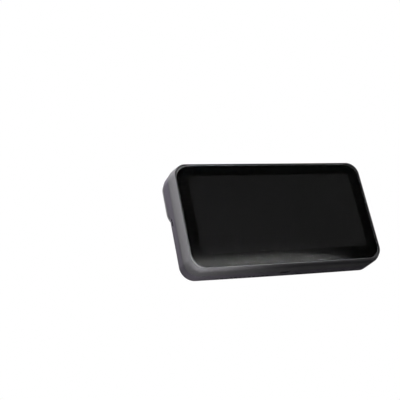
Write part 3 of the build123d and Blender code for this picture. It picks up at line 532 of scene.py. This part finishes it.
def makeLowCard():
    # Dark card below the floor, out of sight, that keeps light off the base
    shape = bmesh.new()
    made = bmesh.ops.create_grid(shape, x_segments=1, y_segments=1, size=0.5)  # one metre square
    low, high = Vector(lowCard["low"]), Vector(lowCard["high"])
    bmesh.ops.scale(shape, vec=(*(high - low), 1.0), verts=made["verts"])
    bmesh.ops.translate(shape, vec=(*((high + low) / 2), -lowCard["drop"]), verts=made["verts"])
    mesh = bpy.data.meshes.new("lowCard")
    shape.to_mesh(mesh)
    shape.free()
    material, _, surface, _ = newMaterial("cardBlack")
    surface.inputs["Base Color"].default_value = (*lowCard["colour"], 1.0)
    surface.inputs["Roughness"].default_value = lowCard["roughness"]
    surface.inputs["Specular IOR Level"].default_value = 0.0
    mesh.materials.append(material)
    card = bpy.data.objects.new("lowCard", mesh)
    scene.collection.objects.link(card)
    card.visible_camera = False
    card.visible_shadow = False


def makeWorld():
    world = bpy.data.worlds.new("surroundings")
    world.use_nodes = True
    scene.world = world
    tree = world.node_tree
    soft = tree.nodes["Background"]
    soft.inputs["Color"].default_value = (*stageLook["ambientTint"], 1.0)
    soft.inputs["Strength"].default_value = stageLook["ambient"]
    white = tree.nodes.new("ShaderNodeBackground")
    white.inputs["Color"].default_value = (1.0, 1.0, 1.0, 1.0)
    white.inputs["Strength"].default_value = 1.0
    ray = tree.nodes.new("ShaderNodeLightPath")
    seen = mathNode(tree, "MAXIMUM", ray.outputs["Is Camera Ray"], ray.outputs["Is Glossy Ray"])
    seen = mathNode(tree, "MAXIMUM", seen, ray.outputs["Is Transmission Ray"])
    choice = tree.nodes.new("ShaderNodeMixShader")
    joinNodes(tree, seen, choice.inputs["Fac"])
    joinNodes(tree, soft.outputs["Background"], choice.inputs[1])
    joinNodes(tree, white.outputs["Background"], choice.inputs[2])
    joinNodes(tree, choice.outputs["Shader"], tree.nodes["World Output"].inputs["Surface"])


# Metres, watts and degrees
bodyMiddle = (0.0, 0.0, 0.045)
lamps = {
    "keySoftbox": dict(place=(-0.34, -0.94, 0.52), size=(0.5, 0.5), power=2.6),
    "cornerRim": dict(place=(-0.135, -0.04, 0.27), size=(0.08, 0.08), power=0.085, aim=(-0.084, -0.004, 0.088),
                      spread=50.0, mirrored=False, pieceOnly=True),
    "borderGlint": dict(place=(0.45, -1.00, 0.340), size=(0.52, 0.05), power=6.5, shape="ELLIPSE",
                        aim=(0.45, 0.0, 0.340)),
    "edgeStrip": dict(place=(-0.096, -0.13, 0.026), size=(0.02, 0.18), power=0.142, aim=(-0.092, -0.01, 0.026),
                      spread=75.0, mirrored=False, pieceOnly=True),
    "lowFill": dict(place=(-0.20, 0.03, -0.12), size=(0.08, 0.08), power=0.045, aim=(-0.05, 0.0, 0.02),
                    pieceOnly=True),
    "scanSoftbox": dict(place=(0.24, 0.34, 0.24), size=(0.25, 0.25), power=2.5),
    "topStrip": dict(place=(0.15, 0.25, 1.00), size=(0.6, 0.4), power=4.2),
}


def addLamps():
    lit = bpy.data.collections.new("litPieces")  # all that the small lamps near the object shine on
    for thing in scene.objects:
        if thing.type == "MESH" and thing.name not in ("floor", "lowCard"):
            lit.objects.link(thing)
    for name, lamp in lamps.items():
        aim = Vector(lamp.get("aim", bodyMiddle))
        light = bpy.data.lights.new(name, "AREA")
        light.shape = lamp.get("shape", "RECTANGLE")
        light.size, light.size_y = lamp["size"]
        light.energy = lamp["power"]
        light.spread = math.radians(lamp.get("spread", 180.0))
        holder = bpy.data.objects.new(name, light)
        scene.collection.objects.link(holder)
        holder.location = lamp["place"]
        holder.rotation_mode = "QUATERNION"
        holder.rotation_quaternion = (aim - holder.location).to_track_quat("-Z", "Y")
        holder.visible_camera = False
        holder.visible_glossy = lamp.get("mirrored", True)
        if lamp.get("pieceOnly"):
            holder.light_linking.receiver_collection = lit


photoCamera = dict(place=(-0.3273, -0.5717, -0.1919), right=(0.9200, -0.3459, -0.1842),
                   down=(-0.0241, 0.4192, -0.9076), forward=(0.3912, 0.8394, 0.3774), lens=76.57, sensor=36.0,
                   near=0.01, far=50.0)


def addCamera():
    data = bpy.data.cameras.new("photoCamera")
    data.lens = photoCamera["lens"]
    data.sensor_width = photoCamera["sensor"]
    data.clip_start, data.clip_end = photoCamera["near"], photoCamera["far"]
    camera = bpy.data.objects.new("photoCamera", data)
    scene.collection.objects.link(camera)
    up, back = -Vector(photoCamera["down"]), -Vector(photoCamera["forward"])
    axes = Matrix((photoCamera["right"], up, back)).transposed()
    camera.rotation_mode = "QUATERNION"
    camera.rotation_quaternion = axes.to_quaternion()
    camera.location = photoCamera["place"]
    scene.camera = camera


makeFloor()
makeLowCard()
makeWorld()
addLamps()
addCamera()
print("stage set")
